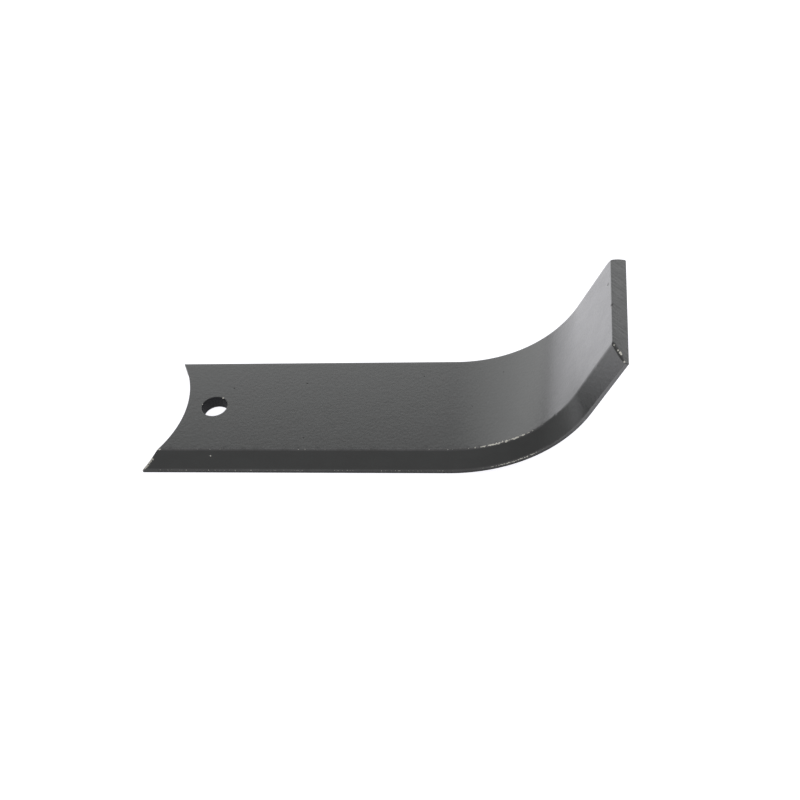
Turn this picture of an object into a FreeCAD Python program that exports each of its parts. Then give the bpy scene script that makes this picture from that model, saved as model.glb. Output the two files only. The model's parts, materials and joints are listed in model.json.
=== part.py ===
"""Rotary tiller blade: one bevelled steel bar, bent into an open L.

Lengths are in millimetres.  The blade lies on the flat underside of its shank.
Origin: centre of the bolt hole, on the underside.
+X runs along the shank towards the bend, +Z is up through the bolt hole.
The sharp edge faces -Y and the plain edge faces +Y.
"""
import FreeCAD, Part
import math
import os

import Sketcher
from FreeCAD import Vector

NODE = "blade"
SHEET = "Sizes"
PARTS_FOLDER = "parts"

# Driving dimensions: alias, value, what it is.
DIMENSIONS = [
    ("bar_width", 70.0, "sharp edge to plain edge"),
    ("bar_thickness", 7.0, "upper face to underside"),
    ("bevel_width", 8.2, "width of the bevel, measured across the bar"),
    ("land_height", 1.8, "blunt land left at the sharp edge"),
    ("crease_radius", 2.5, "rounding where the bevel meets the upper face"),
    ("plain_edge_radius", 0.8, "rolled corners of the plain edge"),
    ("bolt_hole", 13.0, "diameter of the punched hole, for an M12 bolt"),
    ("bolt_from_edge", 38.5, "sharp edge to bolt centre"),
    ("punch_roll", 0.4, "rounded rim on the side where the punch went in"),
    ("seat_radius", 59.0, "concave end that sits on the rotor tube"),
    ("seat_to_bolt", 14.5, "deepest point of the seat to bolt centre"),
    ("seat_from_edge", 40.0, "sharp edge to the axis of the seat"),
    ("bolt_to_bend", 121.0, "bolt centre to the start of the bend"),
    ("bend_radius", 70.0, "inside radius of the bend"),
    ("bend_angle", 62.0, "degrees the leg turns up from the shank"),
    ("leg_sharp_upper", 32.9, "straight leg along the sharp edge, upper face"),
    ("leg_sharp_under", 34.6, "straight leg along the sharp edge, underside"),
    ("leg_plain_upper", 32.7, "straight leg along the plain edge, upper face"),
    ("leg_plain_under", 34.8, "straight leg along the plain edge, underside"),
]

# How far the bar runs on, and how far a cut reaches past it, before trimming.
OVERCUT = 5.0
# How closely an edge's place and radius must agree with the one looked for.
TOLERANCE = 0.001
# Formulas used more than once, in which <name> is a spreadsheet cell.
SEAT_AXIS_TO_BOLT = "(<seat_radius> + <seat_to_bolt>)"
OUTER_BEND_RADIUS = "(<bend_radius> + <bar_thickness>)"
LONGEST_LEG = "max(<leg_sharp_upper>; <leg_sharp_under>; <leg_plain_upper>; <leg_plain_under>)"

# Ends and centres, as the sketcher numbers them, and the sketch's own X axis.
START = 1
END = 2
CENTRE = 3
ORIGIN = -1
X_AXIS = -1


def add_sheet(doc):
    """Write each driving dimension to a spreadsheet cell that has its alias."""
    sheet = doc.addObject("Spreadsheet::Sheet", SHEET)
    for row, (alias, value, meaning) in enumerate(DIMENSIONS, start=1):
        sheet.set("A%d" % row, alias)
        sheet.set("B%d" % row, str(value))
        sheet.set("C%d" % row, meaning)
        sheet.setAlias("B%d" % row, alias)
    doc.recompute()


def bind(thing, prop, formula):
    """Bind a property to a formula."""
    thing.setExpression(prop, formula.replace("<", SHEET + ".").replace(">", ""))


def add_sketch(body, name, role):
    """Add a sketch that lies on one of the body's own origin planes."""
    sketch = body.newObject("Sketcher::SketchObject", name)
    for plane in body.Origin.OriginFeatures:
        if plane.Role == role:
            sketch.AttachmentSupport = [(plane, "")]
    sketch.MapMode = "FlatFace"
    return sketch


def relate(sketch, kind, *where):
    """Add a constraint that has no size."""
    sketch.addConstraint(Sketcher.Constraint(kind, *where))


def measure(sketch, formula, kind, *where):
    """Add a constraint whose size is bound to the spreadsheet."""
    index = sketch.addConstraint(Sketcher.Constraint(kind, *where))
    bind(sketch, "Constraints[%d]" % index, formula)


def add_outline(sketch, points):
    """Draw a closed outline of straight lines and join them at their ends."""
    lines = []
    for here, there in zip(points, points[1:] + points[:1]):
        line = Part.LineSegment(Vector(*here, 0), Vector(*there, 0))
        lines.append(sketch.addGeometry(line))
    for line, following in zip(lines, lines[1:] + lines[:1]):
        relate(sketch, "Coincident", line, END, following, START)
    return lines


def round_corner(sketch, line, following, radius, formula):
    """Round the corner where two lines meet, and keep the corner for sizes."""
    corner = sketch.Geometry[line].EndPoint
    before = corner + radius * (sketch.Geometry[line].StartPoint - corner).normalize()
    after = corner + radius * (sketch.Geometry[following].EndPoint - corner).normalize()
    arc = len(sketch.Geometry)
    sketch.fillet(line, following, before, after, radius, True, True)
    measure(sketch, formula, "Radius", arc, radius)


def add_bar_section(body, size):
    """Section of the rolled bar, drawn at the seat's end and seen along +X.

    It has a flat underside, a square plain edge with rolled corners, a flat
    upper face, and a bevel that runs down to the blunt land of the sharp edge.
    """
    sketch = add_sketch(body, "BarSection", "YZ_Plane")
    bind(sketch, "AttachmentOffset.Base.z", "-" + SEAT_AXIS_TO_BOLT)
    width = size["bar_width"]
    thickness = size["bar_thickness"]
    bevel_width = size["bevel_width"]
    land_height = size["land_height"]
    sharp = -size["bolt_from_edge"]
    corners = [
        (sharp, 0),
        (sharp + width, 0),
        (sharp + width, thickness),
        (sharp + bevel_width, thickness),
        (sharp, land_height),
    ]
    under, plain_edge, upper, bevel, land = add_outline(sketch, corners)
    relate(sketch, "Horizontal", under)
    relate(sketch, "Horizontal", upper)
    relate(sketch, "Vertical", plain_edge)
    relate(sketch, "Vertical", land)
    relate(sketch, "PointOnObject", under, START, X_AXIS)
    measure(sketch, "<bolt_from_edge>", "DistanceX", under, START, ORIGIN, START, -sharp)
    measure(sketch, "<bar_width>", "DistanceX", under, START, under, END, width)
    measure(sketch, "<bar_thickness>", "DistanceY", plain_edge, START, plain_edge, END, thickness)
    measure(sketch, "<bevel_width>", "DistanceX", bevel, END, bevel, START, bevel_width)
    measure(sketch, "<land_height>", "DistanceY", land, END, land, START, land_height)
    round_corner(sketch, under, plain_edge, size["plain_edge_radius"], "<plain_edge_radius>")
    round_corner(sketch, plain_edge, upper, size["plain_edge_radius"], "<plain_edge_radius>")
    round_corner(sketch, upper, bevel, size["crease_radius"], "<crease_radius>")
    return sketch


def add_bend_line(body, size):
    """Line the section follows: the underside, from the seat to past the leg.

    The bar runs one overcut past the longest leg before its end is sheared.
    """
    sketch = add_sketch(body, "BendLine", "XZ_Plane")
    seat_axis = size["seat_radius"] + size["seat_to_bolt"]
    bend_start = size["bolt_to_bend"]
    radius = size["bend_radius"] + size["bar_thickness"]
    turn = math.radians(size["bend_angle"])
    leg_length = size["leg_plain_under"] + OVERCUT
    centre = Vector(bend_start, radius, 0)
    bend_end = centre + radius * Vector(math.sin(turn), -math.cos(turn), 0)
    leg_end = bend_end + leg_length * Vector(math.cos(turn), math.sin(turn), 0)
    straight_down = -math.pi / 2
    circle = Part.Circle(centre, Vector(0, 0, 1), radius)
    shank = sketch.addGeometry(Part.LineSegment(Vector(-seat_axis, 0, 0), Vector(bend_start, 0, 0)))
    bend = sketch.addGeometry(Part.ArcOfCircle(circle, straight_down, straight_down + turn))
    leg = sketch.addGeometry(Part.LineSegment(bend_end, leg_end))
    relate(sketch, "PointOnObject", shank, START, X_AXIS)
    relate(sketch, "Horizontal", shank)
    relate(sketch, "Tangent", shank, END, bend, START)
    relate(sketch, "Tangent", bend, END, leg, START)
    measure(sketch, SEAT_AXIS_TO_BOLT, "DistanceX", shank, START, ORIGIN, START, seat_axis)
    measure(sketch, "<bolt_to_bend>", "DistanceX", ORIGIN, START, shank, END, bend_start)
    measure(sketch, OUTER_BEND_RADIUS, "Radius", bend, radius)
    measure(sketch, "<bend_angle>", "Angle", X_AXIS, START, leg, START, turn)
    measure(sketch, "%s + %g" % (LONGEST_LEG, OVERCUT), "Distance", leg, START, leg, END, leg_length)
    return sketch


def bend_bar(body, size):
    """Carry the bar's section along the shank, round the bend and up the leg."""
    section = add_bar_section(body, size)
    bend_line = add_bend_line(body, size)
    bar = body.newObject("PartDesign::AdditivePipe", "BentBar")
    bar.Profile = section
    bar.Spine = (bend_line, ["Edge1", "Edge2", "Edge3"])
    body.Document.recompute()


def cut_seat(body, size):
    """Cut the concave end that sits on the rotor tube."""
    sketch = add_sketch(body, "SeatCircle", "XY_Plane")
    seat_axis = size["seat_radius"] + size["seat_to_bolt"]
    offset = size["seat_from_edge"] - size["bolt_from_edge"]
    centre = Vector(-seat_axis, offset, 0)
    circle = sketch.addGeometry(Part.Circle(centre, Vector(0, 0, 1), size["seat_radius"]))
    measure(sketch, "<seat_radius>", "Radius", circle, size["seat_radius"])
    measure(sketch, SEAT_AXIS_TO_BOLT, "DistanceX", circle, CENTRE, ORIGIN, START, seat_axis)
    across = "<seat_from_edge> - <bolt_from_edge>"
    measure(sketch, across, "DistanceY", ORIGIN, START, circle, CENTRE, offset)
    seat = body.newObject("PartDesign::Pocket", "TubeSeat")
    seat.Profile = sketch
    seat.Type = "ThroughAll"
    seat.Reversed = True
    body.Document.recompute()


def punch_bolt_hole(body, size):
    """Punch the bolt hole from the upper face and roll its rim there."""
    sketch = add_sketch(body, "BoltCircle", "XY_Plane")
    bind(sketch, "AttachmentOffset.Base.z", "<bar_thickness>")
    circle = sketch.addGeometry(Part.Circle(Vector(0, 0, 0), Vector(0, 0, 1), size["bolt_hole"] / 2))
    relate(sketch, "Coincident", circle, CENTRE, ORIGIN, START)
    measure(sketch, "<bolt_hole>", "Diameter", circle, size["bolt_hole"])
    body.Document.recompute()
    hole = body.newObject("PartDesign::Hole", "BoltHole")
    hole.Profile = sketch
    body.Document.recompute()
    hole.ThreadType = "None"
    hole.HoleCutType = "None"
    hole.DepthType = "ThroughAll"
    bind(hole, "Diameter", "<bolt_hole>")
    body.Document.recompute()
    roll = body.newObject("PartDesign::Fillet", "PunchRoll")
    roll.Base = (hole, [find_rim(hole.Shape, size["bolt_hole"] / 2, size["bar_thickness"])])
    bind(roll, "Radius", "<punch_roll>")
    body.Document.recompute()


def find_rim(shape, radius, height):
    """Name the circular edge of a given radius that lies at a given height."""
    for number, edge in enumerate(shape.Edges, start=1):
        is_round = isinstance(edge.Curve, Part.Circle) and edge.isClosed()
        if is_round and abs(edge.Curve.Radius - radius) + abs(edge.Curve.Center.z - height) < TOLERANCE:
            return "Edge%d" % number
    raise RuntimeError("the bolt hole has no rim at height %g" % height)


def past(here, there, span):
    """Formula for a length that changes evenly from there to here, carried on.

    The result is its value one overcut past here; span is from here to there.
    """
    return "(%s + (%s - %s) * %g / %s)" % (here, here, there, OVERCUT, span)


def add_shear_outline(body, name, across, upper, under, size):
    """Outline of what lies past the sheared end of the leg, in one plane.

    The plane stands along the leg, one overcut outside an edge of the bar; the
    formula across says where.  In it, x runs up the leg from the end of the
    bend, and y from the underside to the upper face.  The end passes through
    the length under on the underside and upper on the upper face.
    """
    sketch = add_sketch(body, name, "XZ_Plane")
    along_shank = "<bolt_to_bend> + %s * sin(<bend_angle>)" % OUTER_BEND_RADIUS
    above_shank = "%s * (1 - cos(<bend_angle>))" % OUTER_BEND_RADIUS
    bind(sketch, "AttachmentOffset.Base.x", along_shank)
    bind(sketch, "AttachmentOffset.Base.y", above_shank)
    bind(sketch, "AttachmentOffset.Base.z", across)
    bind(sketch, "AttachmentOffset.Rotation.Angle", "<bend_angle> * 1 deg")
    near = size["leg_sharp_under"]
    far = near + 2 * OVERCUT
    top = size["bar_thickness"] + OVERCUT
    corners = [(near, -OVERCUT), (far, -OVERCUT), (far, top), (near, top)]
    below, beyond, above, end = add_outline(sketch, corners)
    relate(sketch, "Horizontal", below)
    relate(sketch, "Vertical", beyond)
    relate(sketch, "Horizontal", above)
    measure(sketch, "%g" % OVERCUT, "DistanceY", below, START, ORIGIN, START, OVERCUT)
    measure(sketch, "<bar_thickness> + %g" % OVERCUT, "DistanceY", ORIGIN, START, above, END, top)
    measure(sketch, past(under, upper, "<bar_thickness>"), "DistanceX", ORIGIN, START, end, END, near)
    measure(sketch, past(upper, under, "<bar_thickness>"), "DistanceX", ORIGIN, START, end, START, near)
    measure(sketch, "%s + %g" % (LONGEST_LEG, 2 * OVERCUT), "DistanceX", ORIGIN, START, below, END, far)
    return sketch


def shear_leg_end(body, size):
    """Shear the leg to length.

    The sheared face leans further out on the underside, and a little more so at
    the plain edge than at the sharp edge, so it is ruled between two outlines.
    """
    sharp_side = add_shear_outline(
        body,
        "ShearAtSharpEdge",
        "<bolt_from_edge> + %g" % OVERCUT,
        past("<leg_sharp_upper>", "<leg_plain_upper>", "<bar_width>"),
        past("<leg_sharp_under>", "<leg_plain_under>", "<bar_width>"),
        size,
    )
    plain_side = add_shear_outline(
        body,
        "ShearAtPlainEdge",
        "<bolt_from_edge> - <bar_width> - %g" % OVERCUT,
        past("<leg_plain_upper>", "<leg_sharp_upper>", "<bar_width>"),
        past("<leg_plain_under>", "<leg_sharp_under>", "<bar_width>"),
        size,
    )
    end = body.newObject("PartDesign::SubtractiveLoft", "ShearedEnd")
    end.Profile = sharp_side
    end.Sections = [plain_side]
    end.Ruled = True
    body.Document.recompute()


def check(doc, body):
    """Stop if any feature failed or the blade isn't one sound solid."""
    for thing in doc.Objects:
        if "Invalid" in thing.State or "Error" in thing.State:
            raise RuntimeError("%s failed: %s" % (thing.Name, thing.State))
    shape = body.Shape
    if shape.isNull() or not shape.isValid() or len(shape.Solids) != 1:
        raise RuntimeError("%s isn't one sound solid" % body.Label)


def main():
    """Build the blade from its bar and write it as a STEP file."""
    size = {alias: value for alias, value, meaning in DIMENSIONS}
    doc = FreeCAD.newDocument("RotaryTillerBlade")
    add_sheet(doc)
    body = doc.addObject("PartDesign::Body", "Blade")
    body.Label = NODE
    bend_bar(body, size)
    cut_seat(body, size)
    punch_bolt_hole(body, size)
    shear_leg_end(body, size)
    doc.recompute()
    check(doc, body)
    os.makedirs(PARTS_FOLDER, exist_ok=True)
    body.Shape.exportStep(os.path.join(PARTS_FOLDER, NODE + ".step"))
    box = body.Shape.optimalBoundingBox()
    extent = (box.XLength, box.YLength, box.ZLength)
    print("%s: %.0f mm3, %.1f x %.1f x %.1f mm" % (NODE, body.Shape.Volume, *extent))


main()
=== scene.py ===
"""Looks of a rotary tiller blade: black paint over a rolled, punched, bent and sheared steel bar.

Lengths are in metres, in the blade's own frame: origin at the bolt hole on the
underside, +X along the shank, +Z up, the sharp edge towards -Y.

The blade is worked out as a straight bar first.  A place in the straight bar
is (along, across, depth): along the underside from the bolt hole, across the
bar from the bolt hole towards the plain edge, and up from the underside.  The
bend then carries that place to where it lies on the finished blade.
"""
import json
import math
from types import SimpleNamespace

import bpy
import numpy as np
from mathutils import Matrix, Vector


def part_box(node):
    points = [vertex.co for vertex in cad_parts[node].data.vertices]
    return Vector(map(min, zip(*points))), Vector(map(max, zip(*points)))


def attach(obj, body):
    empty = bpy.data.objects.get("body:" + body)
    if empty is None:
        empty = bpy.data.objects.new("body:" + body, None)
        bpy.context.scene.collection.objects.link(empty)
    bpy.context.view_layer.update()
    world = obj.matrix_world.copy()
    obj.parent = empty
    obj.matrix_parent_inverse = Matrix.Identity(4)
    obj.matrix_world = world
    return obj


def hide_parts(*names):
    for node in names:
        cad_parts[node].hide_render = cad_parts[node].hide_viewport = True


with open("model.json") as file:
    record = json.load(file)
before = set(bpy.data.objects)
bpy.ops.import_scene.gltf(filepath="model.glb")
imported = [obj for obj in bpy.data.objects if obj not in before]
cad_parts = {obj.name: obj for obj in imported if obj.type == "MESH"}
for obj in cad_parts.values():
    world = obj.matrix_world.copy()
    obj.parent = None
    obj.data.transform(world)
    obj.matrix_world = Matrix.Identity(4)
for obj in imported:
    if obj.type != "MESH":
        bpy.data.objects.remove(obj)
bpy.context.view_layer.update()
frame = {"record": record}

MM = 0.001
BODY = "root"
NODE = "blade"

# ---------------------------------------------------------------- sizes of the blade

mounts = {mount["name"]: mount for mount in frame["record"]["mounts"]}
low_corner, high_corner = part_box(NODE)

THICKNESS = mounts["bolt_head_face"]["pos_m"][2]
SHARP_EDGE = low_corner.y
PLAIN_EDGE = high_corner.y
BOLT_RADIUS = mounts["bolt_hole"]["dims"]["r_mm"] * MM
SEAT_RADIUS = mounts["rotor_tube_seat"]["dims"]["r_mm"] * MM
SEAT_AXIS_ALONG = mounts["rotor_tube_seat"]["pos_m"][0] - SEAT_RADIUS
SEAT_AXIS_ACROSS = mounts["rotor_tube_seat"]["pos_m"][1]

BEVEL_WIDTH = 9.0 * MM
BEVEL_GAIN_UP_LEG = 2.9 * MM
BEVEL_GAIN_START = 168 * MM
GAIN_FADE = 22 * MM
LAND_HEIGHT = 1.8 * MM
BEVEL_ANGLE = math.atan2(THICKNESS - LAND_HEIGHT, BEVEL_WIDTH)
BEVEL_SLOPE = math.sin(BEVEL_ANGLE)
CREASE_RADIUS = 2.5 * MM
PLAIN_CORNER_RADIUS = 0.8 * MM
SHARP_CORNER_RADIUS = 0.25 * MM
CUT_EDGE_RADIUS = 0.2 * MM
SHEAR_ROLL = 0.4 * MM
BEVEL_ROLL = 1.2 * MM
ROLL_FADE = 3.0 * MM
PUNCH_ROLL = 0.4 * MM
PUNCH_EXIT_ROUND = 0.15 * MM

BOLT_TO_BEND = 121 * MM
INNER_BEND_RADIUS = 70 * MM
UNDERSIDE_BEND_RADIUS = INNER_BEND_RADIUS + THICKNESS
BEND_ANGLE = math.radians(62)
BEND_LENGTH = UNDERSIDE_BEND_RADIUS * BEND_ANGLE
LEG_START = BOLT_TO_BEND + BEND_LENGTH

LEG_SHARP_UPPER = 32.9 * MM
LEG_SHARP_UNDER = 34.6 * MM
LEG_PLAIN_UPPER = 32.7 * MM
LEG_PLAIN_UNDER = 34.8 * MM

# ---------------------------------------------------------------- fineness of the mesh

CORNER_STEPS = 8
CREASE_STEPS = 10
BEVEL_STEPS = 16
FLAT_STEPS = 62
EDGE_STEPS = 4
SEAT_ROWS = 72
SHANK_ROWS = 125
BEND_ROWS = 124
LEG_ROWS = 50
ROUND_ROWS = 5
RIM_RINGS = 12
WALL_RINGS = 8
SEAT_REGION_END = 20 * MM
HOLE_BLOCK = 10.5 * MM
RING_CROWDING = 1.4
RELAX_SWEEPS = 600


# ---------------------------------------------------------------- the bar's section


def unit(angle):
    """Unit vectors (across, depth) at the given angles from +across."""
    return np.stack([np.cos(angle), np.sin(angle)], axis=-1)


def meet(normal_a, reach_a, normal_b, reach_b):
    """Point where two lines meet, each given by its unit normal and its reach along it."""
    return np.linalg.solve(np.array([normal_a, normal_b]), np.array([reach_a, reach_b]))


def section_outline():
    """Closed outline of the bar's section, with the outward normal at each point.

    Five flats, each a line with a normal and a reach, meet in rounded corners: a
    corner is its centre plus the radius times a normal that turns from one
    flat's to the next's.  Points on the underside lie below those of the bevel
    and the upper face.  Returns points, normals and the numbers of the points
    where the four chains begin and end: underside, plain edge, upper side, land.
    """
    angles = np.array([-math.pi / 2, 0, math.pi / 2, math.pi / 2 + BEVEL_ANGLE, math.pi])
    normals = unit(angles)
    bevel_reach = normals[3] @ np.array([SHARP_EDGE, LAND_HEIGHT])
    reaches = [0.0, PLAIN_EDGE, THICKNESS, bevel_reach, -SHARP_EDGE]
    radii = [
        PLAIN_CORNER_RADIUS,
        PLAIN_CORNER_RADIUS,
        CREASE_RADIUS,
        SHARP_CORNER_RADIUS,
        SHARP_CORNER_RADIUS,
    ]
    steps = [CORNER_STEPS, CORNER_STEPS, CREASE_STEPS, CORNER_STEPS, CORNER_STEPS]
    corners = []
    corner_normals = []
    for side in range(len(normals)):
        following = (side + 1) % len(normals)
        turn_to = angles[following] + (2 * math.pi if following == 0 else 0)
        radius = radii[side]
        centre = meet(normals[side], reaches[side] - radius, normals[following], reaches[following] - radius)
        turned = unit(np.linspace(angles[side], turn_to, steps[side] + 1))
        corners.append(centre + radius * turned)
        corner_normals.append(turned)
    under_plain, plain_upper, crease, bevel_land, land_under = corners

    def between(here, there, count):
        """Evenly spaced points inside the line from here to there."""
        return here + (there - here) * np.linspace(0, 1, count + 1)[1:-1, None]

    upper = between(plain_upper[-1], crease[0], FLAT_STEPS)
    bevel = between(crease[-1], bevel_land[0], BEVEL_STEPS)
    upper_chain = np.concatenate([upper, crease, bevel])
    under = np.stack([upper_chain[::-1, 0], np.zeros(len(upper_chain))], axis=-1)
    plain = between(under_plain[-1], plain_upper[0], EDGE_STEPS)
    land = between(bevel_land[-1], land_under[0], EDGE_STEPS)

    def flat_normals(side, flat):
        """The normal of one of the five flats, once for each point of the flat."""
        return np.repeat(normals[side][None], len(flat), axis=0)

    pieces = [under, under_plain, plain, plain_upper, upper, crease, bevel, bevel_land, land, land_under]
    facings = []
    for side, flat in enumerate([under, plain, upper, bevel, land]):
        facings += [flat_normals(side, flat), corner_normals[side]]
    half = CORNER_STEPS // 2
    points = np.roll(np.concatenate(pieces), half + 1, axis=0)
    outward = np.roll(np.concatenate(facings), half + 1, axis=0)
    long_chain = len(upper_chain) + 2 * half + 1
    short_chain = len(plain) + 2 * half + 1
    ends = np.cumsum([0, long_chain, short_chain, long_chain, short_chain])
    return points, outward, ends


def patch_between(outline, ends):
    """Grid that fills a closed outline of four chains.

    Each point is the blend between the two long chains, plus the blend between
    the two short ones, less the blend between the four corners.  The outer
    points are the outline's own.  The inner ones then move to the mean of
    their four neighbours, again and again, so that none folds over another.
    """
    closed = np.concatenate([outline, outline[:1]])
    under = closed[ends[0]:ends[1] + 1]
    plain = closed[ends[1]:ends[2] + 1]
    upper = closed[ends[2]:ends[3] + 1][::-1]
    land = closed[ends[3]:ends[4] + 1][::-1]
    u = np.linspace(0, 1, len(under))[:, None, None]
    v = np.linspace(0, 1, len(plain))[None, :, None]
    grid = (1 - v) * under[:, None] + v * upper[:, None] + (1 - u) * land[None] + u * plain[None]
    grid -= (
        (1 - u) * (1 - v) * under[0]
        + u * (1 - v) * under[-1]
        + (1 - u) * v * upper[0]
        + u * v * upper[-1]
    )
    grid[:, 0] = under
    grid[:, -1] = upper
    grid[0] = land
    grid[-1] = plain
    for _ in range(RELAX_SWEEPS):
        grid[1:-1, 1:-1] = (grid[:-2, 1:-1] + grid[2:, 1:-1] + grid[1:-1, :-2] + grid[1:-1, 2:]) / 4
    return grid


# ---------------------------------------------------------------- the bar's two ends


def seat_line(across, clearance):
    """Along-place of the seat's circle, grown by a clearance, at an across-place."""
    offset = across - SEAT_AXIS_ACROSS
    return SEAT_AXIS_ALONG + np.sqrt((SEAT_RADIUS + clearance) ** 2 - offset ** 2)


def shear_line(across, depth):
    """Along-place of the sheared end: the leg's length is blended from its four corners."""
    q = (across - SHARP_EDGE) / (PLAIN_EDGE - SHARP_EDGE)
    up = depth / THICKNESS
    under = LEG_SHARP_UNDER + (LEG_PLAIN_UNDER - LEG_SHARP_UNDER) * q
    upper = LEG_SHARP_UPPER + (LEG_PLAIN_UPPER - LEG_SHARP_UPPER) * q
    return LEG_START + under + (upper - under) * up


def bar_rows(points, outward):
    """Places of the bar's skin, one row of section points after another.

    The rows follow the seat's circle at one end and the shear at the other, and
    go over to square rows between.  At each end a few rows turn a quarter round
    the cut edge: they draw in by r (1 - cos) and run out by r sin.  The shear
    came down from the upper face, so there it rolled the edge over further, and
    most of all on the bevel, where the roll fades out towards the land.
    """
    turn = np.linspace(math.pi / 2, 0, ROUND_ROWS + 1)[:, None]

    def cut_rim(radius):
        """How far the rim's rows draw in across and in depth, and how far back they stand."""
        inset = radius * (1 - np.cos(turn))
        back = radius * (1 - np.sin(turn))
        drawn_in = points[None] - inset[..., None] * outward[None]
        return drawn_in[..., 0], drawn_in[..., 1], back

    across, depth, back = cut_rim(CUT_EDGE_RADIUS)
    seat_rim = np.stack([seat_line(across, back), across, depth], axis=-1)
    from_land = np.clip((points[None, :, 0] - SHARP_EDGE) / ROLL_FADE, 0, 1)
    upper_side = np.clip(outward[None, :, 1], 0, 1) * from_land
    bevel_side = upper_side * np.clip(-outward[None, :, 0] / BEVEL_SLOPE, 0, 1)
    rolled = CUT_EDGE_RADIUS + (SHEAR_ROLL - CUT_EDGE_RADIUS) * upper_side
    rolled += (BEVEL_ROLL - SHEAR_ROLL) * bevel_side
    across, depth, back = cut_rim(rolled)
    shear_rim = np.stack([shear_line(across, depth) - back, across, depth], axis=-1)[::-1]

    def rule(here, there, count):
        """Rows between two lines of along-places, without the two lines themselves."""
        t = np.linspace(0, 1, count + 1)[1:-1, None]
        along = here + (there - here) * t
        flat = np.broadcast_to(points, (count - 1,) + points.shape)
        return np.concatenate([along[..., None], flat], axis=-1)

    width = np.ones(len(points))
    square_start = SEAT_REGION_END * width
    bend_start = BOLT_TO_BEND * width
    bend_end = LEG_START * width
    parts = [
        seat_rim,
        rule(seat_rim[-1, :, 0], square_start, SEAT_ROWS),
        rule(square_start, bend_start, SHANK_ROWS + 2)[:-1],
        rule(bend_start, bend_end, BEND_ROWS),
        rule(bend_end, shear_rim[0, :, 0], LEG_ROWS + 2)[1:],
        shear_rim,
    ]
    return np.concatenate(parts)


# ---------------------------------------------------------------- faces and joining


def grid_quads(rows, columns):
    """Corner numbers of the quads of a grid, in (rows - 1, columns - 1, 4) order."""
    number = np.arange(rows * columns).reshape(rows, columns)
    return np.stack([number[:-1, :-1], number[1:, :-1], number[1:, 1:], number[:-1, 1:]], axis=-1)


def grid_part(grid, flip):
    """Places and quads of a grid, with its quads turned over if flip is true."""
    quads = grid_quads(*grid.shape[:2]).reshape(-1, 4)
    return grid.reshape(-1, 3), quads[:, ::-1] if flip else quads


def bolt_rings(block, depth, radius_out):
    """Rings from the edge of a block of the skin in to the bolt hole's rounded rim.

    Each ring keeps the edge's directions from the hole's axis and blends from
    the edge to a circle; the steps get finer towards the circle.
    """
    edge = np.concatenate([block[0, :-1], block[:-1, -1], block[-1, :0:-1], block[:0:-1, 0]])
    away = edge[:, :2] / np.linalg.norm(edge[:, :2], axis=1, keepdims=True)
    circle = np.concatenate([radius_out * away, np.full((len(edge), 1), depth)], axis=1)
    t = 1 - (1 - np.linspace(0, 1, RIM_RINGS + 1)) ** RING_CROWDING
    rings = edge + (circle - edge) * t[:, None, None]
    rings[0] = edge
    return rings, away


def bolt_wall(away):
    """Rings down the bolt hole: rolled rim, punched wall and the lower rim."""
    turn = np.linspace(0, math.pi / 2, ROUND_ROWS + 1)
    roll_radius = BOLT_RADIUS + PUNCH_ROLL * (1 - np.sin(turn))
    roll_depth = THICKNESS - PUNCH_ROLL * (1 - np.cos(turn))
    exit_radius = (BOLT_RADIUS + PUNCH_EXIT_ROUND * (1 - np.sin(turn)))[::-1]
    exit_depth = (PUNCH_EXIT_ROUND * (1 - np.cos(turn)))[::-1]
    wall_depth = np.linspace(roll_depth[-1], exit_depth[0], WALL_RINGS + 1)[1:-1]
    radius = np.concatenate([roll_radius, np.full(len(wall_depth), BOLT_RADIUS), exit_radius])
    depth = np.concatenate([roll_depth, wall_depth, exit_depth])
    rings = np.empty((len(radius), len(away), 3))
    rings[..., :2] = radius[:, None, None] * away
    rings[..., 2] = depth[:, None]
    return rings


def punch(closed):
    """Fill for the skin round the bolt hole, and which quads of the skin it leaves.

    A block of quads is left out on the upper face and on the underside.  Rings
    lead from the block's edge in to the hole's rim, and the wall joins the rims.
    """
    near = (np.abs(closed[:, :, 0]) < HOLE_BLOCK) & (np.abs(closed[:, :, 1]) < HOLE_BLOCK)
    top = closed[:, :, 2] > THICKNESS / 2
    keep = np.ones((closed.shape[0] - 1, closed.shape[1] - 1), bool)
    parts = []

    def add(rings, flip):
        """Close the rings and keep them as a part."""
        parts.append(grid_part(np.concatenate([rings, rings[:, :1]], axis=1), flip))

    for is_top in (True, False):
        inside = near & (top == is_top)
        row_index = np.flatnonzero(inside.any(axis=1))
        column_index = np.flatnonzero(inside.any(axis=0))
        first_row, last_row = row_index[0], row_index[-1]
        first_column, last_column = column_index[0], column_index[-1]
        keep[first_row:last_row, first_column:last_column] = False
        block = closed[first_row:last_row + 1, first_column:last_column + 1]
        if is_top:
            rings, away = bolt_rings(block[:, ::-1], THICKNESS, BOLT_RADIUS + PUNCH_ROLL)
            wall = bolt_wall(away)
            rings[-1] = wall[0]
            add(rings, True)
            add(wall, True)
        else:
            rings = bolt_rings(block, 0.0, BOLT_RADIUS + PUNCH_EXIT_ROUND)[0]
            rings[-1] = wall[-1]
            add(rings, False)
    return parts, keep


def joined(parts):
    """One skin of several parts: their equal places are merged, and unused ones are dropped.

    The parts' quads all face inwards, so each is turned over at the end.
    """
    sizes = [len(places) for places, quads in parts]
    starts = np.cumsum([0] + sizes[:-1])
    places = np.concatenate([places for places, quads in parts])
    faces = np.concatenate([quads + start for (places_of_part, quads), start in zip(parts, starts)])
    used, numbers = np.unique(places, axis=0, return_inverse=True)
    faces = numbers.reshape(-1)[faces]
    kept = np.zeros(len(used), bool)
    kept[faces] = True
    renumber = np.cumsum(kept) - 1
    return used[kept], renumber[faces[:, ::-1]]


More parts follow.
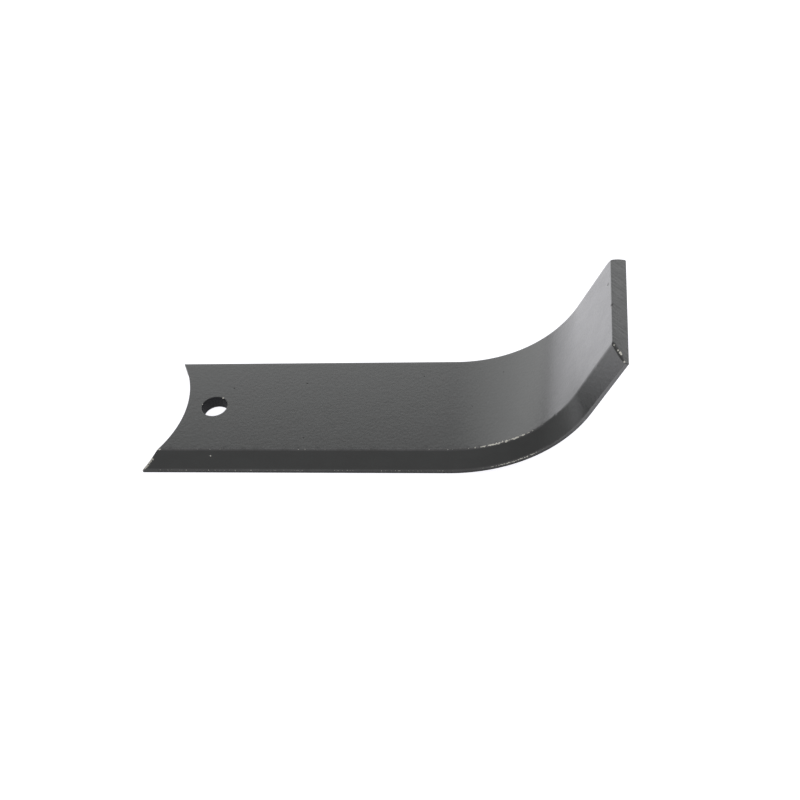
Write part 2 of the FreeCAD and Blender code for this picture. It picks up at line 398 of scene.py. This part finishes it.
def whole_bar():
    """Places and quads of the whole straight bar, as one closed skin."""
    points, outward, ends = section_outline()
    skin = bar_rows(points, outward)
    closed = np.concatenate([skin, skin[:, :1]], axis=1)
    hole, keep = punch(closed)
    side = (closed.reshape(-1, 3), grid_quads(*closed.shape[:2])[keep])

    seat = patch_between(skin[0], ends)
    seat[1:-1, 1:-1, 0] = seat_line(seat[1:-1, 1:-1, 1], 0.0)
    shear = patch_between(skin[-1], ends)
    shear[1:-1, 1:-1, 0] = shear_line(shear[1:-1, 1:-1, 1], shear[1:-1, 1:-1, 2])
    return joined([side] + hole + [grid_part(seat, False), grid_part(shear, True)])


# ---------------------------------------------------------------- the bend


def bend(places):
    """Carry places of the straight bar to the finished blade.

    Past the start of the bend a section turns about the bend's axis, by the
    along-distance over the underside's radius, and past its end it runs
    straight up the leg.
    """
    along, across, depth = places[:, 0], places[:, 1], places[:, 2]
    turn = np.clip((along - BOLT_TO_BEND) / UNDERSIDE_BEND_RADIUS, 0, BEND_ANGLE)
    leg = np.maximum(along - LEG_START, 0)
    shank = np.minimum(along, BOLT_TO_BEND)
    radius = UNDERSIDE_BEND_RADIUS - depth
    x = shank + radius * np.sin(turn) + leg * np.cos(turn)
    z = UNDERSIDE_BEND_RADIUS - radius * np.cos(turn) + leg * np.sin(turn)
    return np.stack([x, across, z], axis=-1)


def widen_bevel(places):
    """Let the bevel grow wider from the bend up the leg, as the forging drew it out.

    The crease shifts by a quarter sine of the along-distance.  The bevel is
    stretched with it in proportion to the distance from the sharp edge, and
    past the crease the shift fades out in a straight slope.
    """
    along, across = places[:, 0], places[:, 1]
    share = np.clip((along - BEVEL_GAIN_START) / (LEG_START + LEG_SHARP_UPPER - BEVEL_GAIN_START), 0, 1)
    shift = BEVEL_GAIN_UP_LEG * np.sin(share * math.pi / 2)
    from_edge = across - SHARP_EDGE
    part = np.minimum(from_edge / BEVEL_WIDTH, 1 - (from_edge - BEVEL_WIDTH) / GAIN_FADE)
    widened = places.copy()
    widened[:, 1] += shift * np.clip(part, 0, 1)
    return widened


# ---------------------------------------------------------------- wear

CREASE = np.array([SHARP_EDGE + BEVEL_WIDTH + 0.2 * MM, THICKNESS])
LAND_TOP = np.array([SHARP_EDGE, LAND_HEIGHT])
NICK_DEPTH = 0.14 * MM
NICK_REACH = 0.7 * MM
CREASE_WAVES = (9.1 * MM, 5.3 * MM, 3.1 * MM)
LAND_WAVES = (7.7 * MM, 4.3 * MM, 2.9 * MM)
LAND_WAVE_START = 1.7 * MM
WAVE_TURN = 2.4
CORNER_LOSS = 1.5 * MM
CORNER_REACH = 5.2 * MM

# Stretches of the bar that are rubbed more or less: by how much, start, end and ramp along it.
CREASE_STRETCHES = (
    (0.30, 143 * MM, 160 * MM, 9 * MM),
    (-0.30, 182 * MM, 240 * MM, 8 * MM),
    (0.30, -25 * MM, -22 * MM, 0.5 * MM),
)
LAND_STRETCHES = (
    (0.15, 148 * MM, 164 * MM, 9 * MM),
    (-0.16, 176 * MM, 240 * MM, 10 * MM),
)
LAND_WEAR = 0.04
SEAT_WEAR = -0.2
SHEAR_WEAR = -0.3
# The seat's rim on the bevel: its extra wear, how deep, and the shares of the bevel it covers and fades over.
RIM_WEAR = 0.62
RIM_WEAR_DEPTH = 1.2 * MM
RIM_SHARE = 0.55
RIM_FADE = 0.15


def ripple(along, lengths):
    """Uneven wave between about -1 and 1: the mean of sines of the given lengths."""
    shifts = np.arange(len(lengths)) * WAVE_TURN
    waves = np.sin(2 * math.pi * along[:, None] / np.array(lengths) + shifts)
    return waves.mean(axis=1)


def bump_between(along, start, end, ramp):
    """1 between start and end, 0 a ramp's length outside them, and a straight slope between."""
    return np.clip(np.minimum(along - start, end - along) / ramp + 1, 0, 1)


def edge_gaps(places):
    """Distances of each place from the crease, the top of the land and the nearest cut end."""
    along, across = places[:, 0], places[:, 1]
    section = places[:, 1:]
    crease = np.linalg.norm(section - CREASE, axis=1)
    land = np.linalg.norm(section - LAND_TOP, axis=1)
    seat = np.hypot(along - SEAT_AXIS_ALONG, across - SEAT_AXIS_ACROSS) - SEAT_RADIUS
    shear = shear_line(across, places[:, 2]) - along
    return np.stack([crease, land, np.minimum(seat, shear)], axis=-1)


def rubbed_along(along, stretches):
    """Sum of the wear of the stretches that each place lies in."""
    return sum(amount * bump_between(along, start, end, ramp) for amount, start, end, ramp in stretches)


def edge_wear(places):
    """How much more than elsewhere the paint is rubbed off the crease, the land and the cut ends.

    The crease and the land are rubbed most where they go round the bend; the
    bevel's rim at the seat is bare from the land to halfway up.
    """
    along, across, depth = places[:, 0], places[:, 1], places[:, 2]
    crease = rubbed_along(along, CREASE_STRETCHES)
    land = LAND_WEAR + rubbed_along(along, LAND_STRETCHES)
    bevel_share = (across - SHARP_EDGE) / BEVEL_WIDTH
    bevel_depth = LAND_HEIGHT + (THICKNESS - LAND_HEIGHT) * np.clip(bevel_share, 0, 1)
    on_rim = np.clip(1 - (bevel_depth - depth) / RIM_WEAR_DEPTH, 0, 1)
    bare_strip = RIM_WEAR * on_rim * np.clip((RIM_SHARE - bevel_share) / RIM_FADE + 1, 0, 1)
    cut = np.where(along < 0, SEAT_WEAR + bare_strip, SHEAR_WEAR)
    return np.stack([crease, land, cut], axis=-1)


def weather(places):
    """Nick the crease and the land, and knock off the leg's far inner corner.

    A nick goes down into the crease, or across into the land, by the cube of an
    uneven wave, and dies away with the distance from the edge.  The corner draws
    in by the square of how far a place lies into it.
    """
    gaps = edge_gaps(places)
    along = places[:, 0]
    worn = places.copy()
    crease_nicks = np.clip(ripple(along, CREASE_WAVES), 0, 1) ** 3
    land_nicks = np.clip(ripple(along + LAND_WAVE_START, LAND_WAVES), 0, 1) ** 3
    worn[:, 2] -= NICK_DEPTH * crease_nicks * np.exp(-(gaps[:, 0] / NICK_REACH) ** 2)
    worn[:, 1] += NICK_DEPTH * land_nicks * np.exp(-(gaps[:, 1] / NICK_REACH) ** 2)
    to_corner = (PLAIN_EDGE - places[:, 1]) + np.maximum(gaps[:, 2], 0) + (THICKNESS - places[:, 2])
    into_corner = np.clip(1 - to_corner / CORNER_REACH, 0, 1)
    worn[:, 1] -= CORNER_LOSS * np.where(along > LEG_START, into_corner ** 2, 0)
    return worn


# ---------------------------------------------------------------- the mesh


def build_blade():
    """The blade as one mesh, with what the paint needs to know kept on its points."""
    straight, faces = whole_bar()
    places = weather(straight)
    mesh = bpy.data.meshes.new("painted_blade")
    mesh.vertices.add(len(places))
    mesh.vertices.foreach_set("co", bend(widen_bevel(places)).astype(np.float32).ravel())
    mesh.loops.add(faces.size)
    mesh.loops.foreach_set("vertex_index", faces.astype(np.int32).ravel())
    mesh.polygons.add(len(faces))
    mesh.polygons.foreach_set("loop_start", np.arange(0, faces.size, 4, dtype=np.int32))
    mesh.update(calc_edges=True)
    mesh.validate()
    mesh.shade_smooth()
    kept = (("bar_place", straight), ("edge_gaps", edge_gaps(straight)), ("edge_wear", edge_wear(straight)))
    for name, values in kept:
        attribute = mesh.attributes.new(name, "FLOAT_VECTOR", "POINT")
        attribute.data.foreach_set("vector", values.astype(np.float32).ravel())
    blade = bpy.data.objects.new("painted_blade", mesh)
    bpy.context.scene.collection.objects.link(blade)
    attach(blade, BODY)
    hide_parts(NODE)
    return blade


# ---------------------------------------------------------------- materials


def new_material(name):
    """Empty node material with its output and its Principled shader."""
    material = bpy.data.materials.new(name)
    material.use_nodes = True
    tree = material.node_tree
    shader = tree.nodes["Principled BSDF"]
    return material, tree, shader


def add_node(tree, kind, inputs=(), **settings):
    """Add a shader node, with a value or a link for each named input."""
    made = tree.nodes.new("ShaderNode" + kind)
    for name, setting in settings.items():
        setattr(made, name, setting)
    for key, value in inputs:
        if isinstance(value, bpy.types.NodeSocket):
            tree.links.new(value, made.inputs[key])
        else:
            made.inputs[key].default_value = value
    return made


def calc(tree, operation, *values):
    """Result of one maths node."""
    return add_node(tree, "Math", enumerate(values), operation=operation).outputs[0]


def noise(tree, place, grain, stretch=(1, 1, 1), detail=2.0):
    """Noise about 0.5, with grains of the given size, drawn out along each axis by the stretch."""
    per_axis = [1 / (grain * along_axis) for along_axis in stretch]
    scaled = add_node(tree, "VectorMath", [(0, place), (1, per_axis)], operation="MULTIPLY").outputs[0]
    return add_node(tree, "TexNoise", [("Vector", scaled), ("Scale", 1.0), ("Detail", detail)]).outputs[0]


def rise(tree, value, low, high, start=0.0, end=1.0):
    """Smooth step from start to end while a value goes from low to high."""
    inputs = [("Value", value), ("From Min", low), ("From Max", high), ("To Min", start), ("To Max", end)]
    return add_node(tree, "MapRange", inputs, interpolation_type="SMOOTHSTEP").outputs[0]


def blend(tree, factor, low, high):
    """Value between two others."""
    return add_node(tree, "Mix", [(0, factor), (2, low), (3, high)], data_type="FLOAT").outputs[0]


def blend_colour(tree, factor, low, high):
    """Colour between two others."""
    return add_node(tree, "Mix", [(0, factor), (6, low), (7, high)], data_type="RGBA").outputs[2]


def dim(tree, colour, factor):
    """Colour times a factor."""
    return add_node(tree, "VectorMath", [(0, colour), ("Scale", factor)], operation="SCALE").outputs[0]


def weighted_sum(tree, *terms):
    """Sum of values, each times its weight."""
    total = 0.0
    for value, weight in terms:
        total = calc(tree, "MULTIPLY_ADD", value, weight, total)
    return total


def vector_parts(tree, attribute):
    """A vector that is kept on the mesh, and its three parts."""
    kept = add_node(tree, "Attribute", attribute_name=attribute)
    split = add_node(tree, "SeparateXYZ", [(0, kept.outputs["Vector"])])
    return kept.outputs["Vector"], split.outputs


# Marks on the bar: along, across, depth and radius in millimetres.
DARK_PITS = (
    (45.7, 16.0, 7.0, 0.45),
    (49.3, -21.9, 7.0, 0.45),
    (105.4, 20.5, 7.0, 0.4),
    (131.9, -1.4, 7.0, 0.3),
    (148.7, 18.7, 7.0, 0.35),
    (234.3, 15.3, 7.0, 0.7),
    (236.9, -1.6, 6.9, 0.6),
    (8.0, 12.7, 7.0, 0.5),
)
CHIPS_AND_PAINTED_RIM_GLINTS = (
    (4.1, -32.3, 5.4, 0.35),
    (237.9, -33.6, 3.7, 0.55),
    (238.0, -34.3, 3.3, 0.5),
    (237.7, -32.6, 4.6, 0.4),
    (238.4, -37.7, 2.0, 0.45),
    (237.2, -30.3, 6.3, 0.4),
    # The last two are painted highlights: glints on the bolt hole's rounded rim, drawn as bare steel.
    (3.4, 5.9, 7.0, 0.5),
    (-6.5, 1.5, 7.0, 0.3),
)


# A mark is full within the first of these shares of its radius, and gone past the second.
MARK_SHARES = (0.75, 1.15)


def near_marks(tree, place, marks, uneven):
    """1 on any of the marks and 0 away from them, with an uneven rim."""
    closest = None
    for along, across, depth, radius in marks:
        middle = (along * MM, across * MM, depth * MM)
        away = add_node(tree, "VectorMath", [(0, place), (1, middle)], operation="DISTANCE").outputs["Value"]
        into = calc(tree, "DIVIDE", away, radius * MM)
        closest = into if closest is None else calc(tree, "MINIMUM", closest, into)
    return rise(tree, calc(tree, "ADD", closest, uneven), *MARK_SHARES, 1.0, 0.0)


# Paint is gone where an edge's wear and its uneven noise pass this level.
CHIP_LEVEL = 0.62
CHIP_SOFTNESS = 0.02
# Of the crease, the land and the cut ends: the chips' size, and how fast they narrow off the edge.
CHIP_SIZES = (1.2 * MM, 0.8 * MM, 0.9 * MM)
CHIP_NARROWINGS = (0.5 / MM, 0.5 / MM, 0.3 / MM)
# Paint thins between these levels of wear, and between these distances from an edge.
RUBBED_LEVELS = (-0.22, 0.1)
RUBBED_REACH = (0.2 * MM, 1.1 * MM)
RUBBED_UNEVENNESS = 0.25


def chipped_edge(tree, place, gap, wear, size, narrowing):
    """1 where an edge has lost its paint: uneven along the edge and narrow across it."""
    worn = calc(tree, "ADD", noise(tree, place, size, detail=3.0), wear)
    strength = calc(tree, "SUBTRACT", worn, calc(tree, "MULTIPLY", gap, narrowing))
    return rise(tree, strength, CHIP_LEVEL - CHIP_SOFTNESS, CHIP_LEVEL + CHIP_SOFTNESS)


def rubbed_edge(tree, gap, wear, uneven):
    """How thin the paint is worn towards an edge: most on it, none a short way off."""
    worn = calc(tree, "ADD", wear, calc(tree, "MULTIPLY", uneven, RUBBED_UNEVENNESS))
    return calc(tree, "MULTIPLY", rise(tree, worn, *RUBBED_LEVELS), rise(tree, gap, *RUBBED_REACH, 1.0, 0.0))


def worn_edges(tree, place, gaps, wears, uneven):
    """Where the edges have lost their paint, and how thin it is worn beside them."""
    bare = 0.0
    thin = 0.0
    for gap, wear, size, narrowing in zip(gaps, wears, CHIP_SIZES, CHIP_NARROWINGS):
        bare = calc(tree, "MAXIMUM", bare, chipped_edge(tree, place, gap, wear, size, narrowing))
        thin = calc(tree, "MAXIMUM", thin, rubbed_edge(tree, gap, wear, uneven))
    return bare, thin


GRAIN_SIZE = 1.5 * MM
MOTTLE_SIZE = 7 * MM
MOTTLE_STRETCH = (1.6, 1, 1)
STREAK_SIZE = 1.1 * MM
STREAK_STRETCH = (30, 1, 1)
TEAR_SIZE = 1.6 * MM
TEAR_SLANT = 0.85
TEAR_DRAW = 0.2
UNEVENNESS = 1.2
# A zone is full up to the first distance, and gone past the second.
CUT_ZONE = (0.02 * MM, 0.35 * MM)
HOLE_ZONE = (BOLT_RADIUS, BOLT_RADIUS + 0.3 * MM)


def paint_patterns(tree):
    """The noises and the zones, from 0 to 1, that the paint is made of, by name."""
    place, (along, across, depth) = vector_parts(tree, "bar_place")
    gaps = vector_parts(tree, "edge_gaps")[1]
    wears = vector_parts(tree, "edge_wear")[1]
    grain = noise(tree, place, GRAIN_SIZE, detail=4.0)
    uneven = calc(tree, "MULTIPLY", calc(tree, "SUBTRACT", grain, 0.5), UNEVENNESS)
    chips, thin = worn_edges(tree, place, gaps, wears, uneven)
    slanted = calc(tree, "SUBTRACT", across, calc(tree, "MULTIPLY", depth, TEAR_SLANT))
    drawn = calc(tree, "MULTIPLY", depth, TEAR_DRAW)
    torn_place = add_node(tree, "CombineXYZ", [("Y", slanted), ("Z", drawn)]).outputs[0]
    squares = calc(tree, "ADD", calc(tree, "POWER", along, 2.0), calc(tree, "POWER", across, 2.0))
    return SimpleNamespace(
        depth=depth,
        grain=grain,
        mottle=noise(tree, place, MOTTLE_SIZE, MOTTLE_STRETCH, detail=3.0),
        streaks=noise(tree, place, STREAK_SIZE, STREAK_STRETCH, detail=2.0),
        tears=noise(tree, torn_place, TEAR_SIZE, detail=3.0),
        on_cut=rise(tree, gaps[2], *CUT_ZONE, 1.0, 0.0),
        in_hole=rise(tree, calc(tree, "SQRT", squares), *HOLE_ZONE, 1.0, 0.0),
        # Bare steel in the chips, together with the painted highlights on the bolt hole's rim.
        bare=calc(tree, "MAXIMUM", chips, near_marks(tree, place, CHIPS_AND_PAINTED_RIM_GLINTS, uneven)),
        thin=thin,
        pits=near_marks(tree, place, DARK_PITS, uneven),
    )


PAINT = (0.0180, 0.0200, 0.0198, 1)
THIN_PAINT = (0.10, 0.098, 0.103, 1)
CUT_PAINT = (0.063, 0.065, 0.067)
HOLE_PAINT = (0.022, 0.023, 0.030, 1)
PIT = (0.004, 0.004, 0.004, 1)
STEEL = (0.90, 0.88, 0.80, 1)
# Most of a noise lies between these levels; a pair of tones is what goes with them.
NOISE_LEVELS = (0.3, 0.7)
TORN_TONES = (0.7, 1.25)
MOTTLE_TONES = (0.8, 1.2)
# The cut end's colour falls from 1 over these depths: a painted shade on the upper rim that the shear rolled
# over.
PAINTED_SHADE_DEPTHS = (0.6 * THICKNESS, 0.95 * THICKNESS)
PAINTED_SHADE_TONE = 0.75


def paint_colour(tree, look):
    """Black, greyer on the cut ends and where it is worn thin, with a painted shade on the cut ends' rolled
    upper rim, darker in pits, with bare steel in chips and painted glints on the bolt hole's rim.
    """
    # Painted shade: the cut end's colour darkens towards its rolled upper rim.
    painted_rim_shade = rise(tree, look.depth, *PAINTED_SHADE_DEPTHS, 1.0, PAINTED_SHADE_TONE)
    torn = rise(tree, look.tears, *NOISE_LEVELS, *TORN_TONES)
    cut_paint = dim(tree, CUT_PAINT, calc(tree, "MULTIPLY", painted_rim_shade, torn))
    paint = blend_colour(tree, look.on_cut, PAINT, cut_paint)
    paint = blend_colour(tree, look.thin, paint, THIN_PAINT)
    paint = blend_colour(tree, look.pits, paint, PIT)
    paint = blend_colour(tree, look.in_hole, paint, HOLE_PAINT)
    mottled = dim(tree, paint, rise(tree, look.mottle, *NOISE_LEVELS, *MOTTLE_TONES))
    return blend_colour(tree, look.bare, mottled, STEEL)


GRAIN_SHARE = 0.6
BLOTCH_LEVELS = (0.5, 1.1)
PAINT_ROUGHNESS = (0.30, 0.38)
TORN_ROUGHNESS = (0.36, 0.62)
HOLE_ROUGHNESS = 0.5
STEEL_ROUGHNESS = 0.5


def paint_roughness(tree, look):
    """Semi-gloss, in blotches of the mottle and the grain, and rougher where cut, punched, bare or on the
    painted glints at the bolt hole's rim.
    """
    blotches = calc(tree, "ADD", look.mottle, calc(tree, "MULTIPLY", look.grain, GRAIN_SHARE))
    roughness = rise(tree, blotches, *BLOTCH_LEVELS, *PAINT_ROUGHNESS)
    torn = rise(tree, look.tears, *NOISE_LEVELS, *TORN_ROUGHNESS)
    roughness = blend(tree, look.on_cut, roughness, torn)
    roughness = blend(tree, look.in_hole, roughness, HOLE_ROUGHNESS)
    return blend(tree, look.bare, roughness, STEEL_ROUGHNESS)


BUMP_HEIGHT = 0.03 * MM
GRAIN_BUMP = 1.6
STREAK_BUMP = 0.15
MOTTLE_BUMP = 0.4
TEAR_BUMP = 3.5
CHIP_SINK = -0.8
PIT_SINK = -3.0


def paint_bump(tree, look):
    """Normal of the paint's fine relief: noise, tears in the cut ends, and sunken chips, painted rim glints
    and pits.
    """
    height = weighted_sum(
        tree,
        (look.grain, GRAIN_BUMP),
        (look.streaks, STREAK_BUMP),
        (look.mottle, MOTTLE_BUMP),
        (calc(tree, "MULTIPLY", look.tears, look.on_cut), TEAR_BUMP),
        (look.bare, CHIP_SINK),
        (look.pits, PIT_SINK),
    )
    inputs = [("Height", height), ("Distance", BUMP_HEIGHT), ("Strength", 1.0)]
    return add_node(tree, "Bump", inputs).outputs[0]


STEEL_METALLIC = 0.6
DULL_LOSS = 0.9
PAINT_IOR = 1.6
COAT_IOR = 1.6
COAT_ROUGHNESS = 0.22


def paint_material():
    """Black semi-gloss paint over rolled steel, rubbed thin and chipped along the edges, with painted glints
    on the bolt hole's rim and a painted shade on the cut ends' upper rim.
    """
    material, tree, shader = new_material("black_paint")
    look = paint_patterns(tree)
    normal = paint_bump(tree, look)
    dull = calc(tree, "MULTIPLY", calc(tree, "MAXIMUM", look.in_hole, look.pits), DULL_LOSS)
    uncoated = calc(tree, "MAXIMUM", look.bare, dull)
    linked = {
        "Base Color": paint_colour(tree, look),
        "Metallic": calc(tree, "MULTIPLY", look.bare, STEEL_METALLIC),
        "Roughness": paint_roughness(tree, look),
        "Coat Weight": rise(tree, uncoated, 0.0, 1.0, 1.0, 0.0),
        "Normal": normal,
        "Coat Normal": normal,
    }
    for name, socket in linked.items():
        tree.links.new(socket, shader.inputs[name])
    shader.inputs["IOR"].default_value = PAINT_IOR
    shader.inputs["Coat IOR"].default_value = COAT_IOR
    shader.inputs["Coat Roughness"].default_value = COAT_ROUGHNESS
    return material


# ---------------------------------------------------------------- floor, light and camera

LOOK_AT = Vector((95.74, -1.80, 12.85)) * MM
FLOOR_SIZE = 6.0
FLOOR_COLOUR = (0.8, 0.8, 0.8, 1)
# The floor's own light: seen by the camera, and, as a painted reflection, mirrored in front of, beside and
# behind the blade; the dim level beside it is a painted contact shadow.
GLOW_SEEN = 0.88
GLOW_IN_FRONT = 0.95
PAINTED_SHADOW_GLOW_BESIDE = 0.06
GLOW_BEHIND = 0.90
GLOW_COLOUR = (1.005, 1.0, 1.05, 1)
# Where, from front to back, the mirrored light goes over to the next.
FRONT_TO_BESIDE = (-0.09, -0.05)
BESIDE_TO_BEHIND = (-0.045, 0.12)


def add_floor():
    """Floor that shows white to the camera and keeps the shadow. In reflections it is a painted reflection,
    bright in front and behind, with a painted shadow beside the blade.
    """
    half = FLOOR_SIZE / 2
    corners = [(-half, -half, 0), (half, -half, 0), (half, half, 0), (-half, half, 0)]
    mesh = bpy.data.meshes.new("floor")
    mesh.from_pydata(corners, [], [(0, 1, 2, 3)])
    floor = bpy.data.objects.new("floor", mesh)
    bpy.context.scene.collection.objects.link(floor)
    material, tree, shader = new_material("white_floor")
    shader.inputs["Base Color"].default_value = FLOOR_COLOUR
    shader.inputs["Roughness"].default_value = 1.0
    shader.inputs["Specular IOR Level"].default_value = 0.0
    rays = add_node(tree, "LightPath").outputs
    seen = calc(tree, "MAXIMUM", rays["Is Camera Ray"], rays["Is Transmission Ray"])
    place = add_node(tree, "TexCoord").outputs["Object"]
    back = add_node(tree, "SeparateXYZ", [(0, place)]).outputs["Y"]
    # Painted shadow: the floor's mirrored glow drops beside the blade, like a contact shadow seen only in
    # reflections.
    near_glow = rise(tree, back, *FRONT_TO_BESIDE, GLOW_IN_FRONT, PAINTED_SHADOW_GLOW_BESIDE)
    all_glow = rise(tree, back, *BESIDE_TO_BEHIND, near_glow, GLOW_BEHIND)
    mirrored = calc(tree, "MULTIPLY", rays["Is Glossy Ray"], all_glow)
    glow = calc(tree, "MAXIMUM", calc(tree, "MULTIPLY", seen, GLOW_SEEN), mirrored)
    shader.inputs["Emission Color"].default_value = GLOW_COLOUR
    tree.links.new(glow, shader.inputs["Emission Strength"])
    mesh.materials.append(material)


# The room's light: sine of the direction's height, and level there.
WORLD_LEVELS = ((0.0, 0.62), (0.12, 0.42), (0.5, 0.29), (1.0, 0.42))
WHITE = (1, 1, 1, 1)
SOFTBOX_WIDTH = 2.8
SOFTBOX_HEIGHT = 1.02
SOFTBOX_PLACE = Vector((0.05, 1.25, 0.62))
SOFTBOX_LEVEL = 0.85
SOFTBOX_COLOUR = (0.985, 1.0, 1.0)


def set_world():
    """A grey room, seen white by the camera, whose light is a ramp over the sine of the height."""
    world = bpy.data.worlds.new("studio")
    bpy.context.scene.world = world
    world.use_nodes = True
    tree = world.node_tree
    direction = add_node(tree, "TexCoord").outputs["Generated"]
    height = add_node(tree, "SeparateXYZ", [(0, direction)]).outputs["Z"]
    ramp = add_node(tree, "ValToRGB", [(0, height)])
    stops = ramp.color_ramp.elements
    while len(stops) < len(WORLD_LEVELS):
        stops.new(0.5)
    for stop, (position, level) in zip(stops, WORLD_LEVELS):
        stop.position = position
        stop.color = (level, level, level, 1)
    seen = add_node(tree, "LightPath").outputs["Is Camera Ray"]
    colour = blend_colour(tree, seen, ramp.outputs[0], WHITE)
    tree.links.new(colour, tree.nodes["Background"].inputs["Color"])


def add_softbox():
    """Wide soft lamp behind the blade, turned towards it."""
    lamp = bpy.data.lights.new("softbox", "AREA")
    lamp.shape = "RECTANGLE"
    lamp.size = SOFTBOX_WIDTH
    lamp.size_y = SOFTBOX_HEIGHT
    lamp.color = SOFTBOX_COLOUR
    lamp.energy = SOFTBOX_LEVEL * math.pi * SOFTBOX_WIDTH * SOFTBOX_HEIGHT
    softbox = bpy.data.objects.new("softbox", lamp)
    aim = (LOOK_AT - SOFTBOX_PLACE).to_track_quat("-Z", "Y")
    softbox.matrix_world = Matrix.Translation(SOFTBOX_PLACE) @ aim.to_matrix().to_4x4()
    bpy.context.scene.collection.objects.link(softbox)


CAMERA_AZIMUTH = math.radians(11.66)
CAMERA_HEIGHT = math.radians(44.90)
CAMERA_ROLL = math.radians(-8.54)
CAMERA_DISTANCE = 656.5 * MM
CAMERA_LENS = 60.03


def add_camera():
    """Camera that looks down on the blade from its sharp side, a little turned and rolled."""
    camera = bpy.data.objects.new("camera", bpy.data.cameras.new("camera"))
    camera.data.lens = CAMERA_LENS
    turn = Matrix.Rotation(CAMERA_AZIMUTH, 4, "Z") @ Matrix.Rotation(math.pi / 2 - CAMERA_HEIGHT, 4, "X")
    camera.matrix_world = (
        Matrix.Translation(LOOK_AT)
        @ turn
        @ Matrix.Translation((0, 0, CAMERA_DISTANCE))
        @ Matrix.Rotation(CAMERA_ROLL, 4, "Z")
    )
    bpy.context.scene.collection.objects.link(camera)
    bpy.context.scene.camera = camera


blade = build_blade()
blade.data.materials.append(paint_material())
add_floor()
set_world()
add_softbox()
add_camera()
bpy.context.scene.view_settings.view_transform = "Standard"
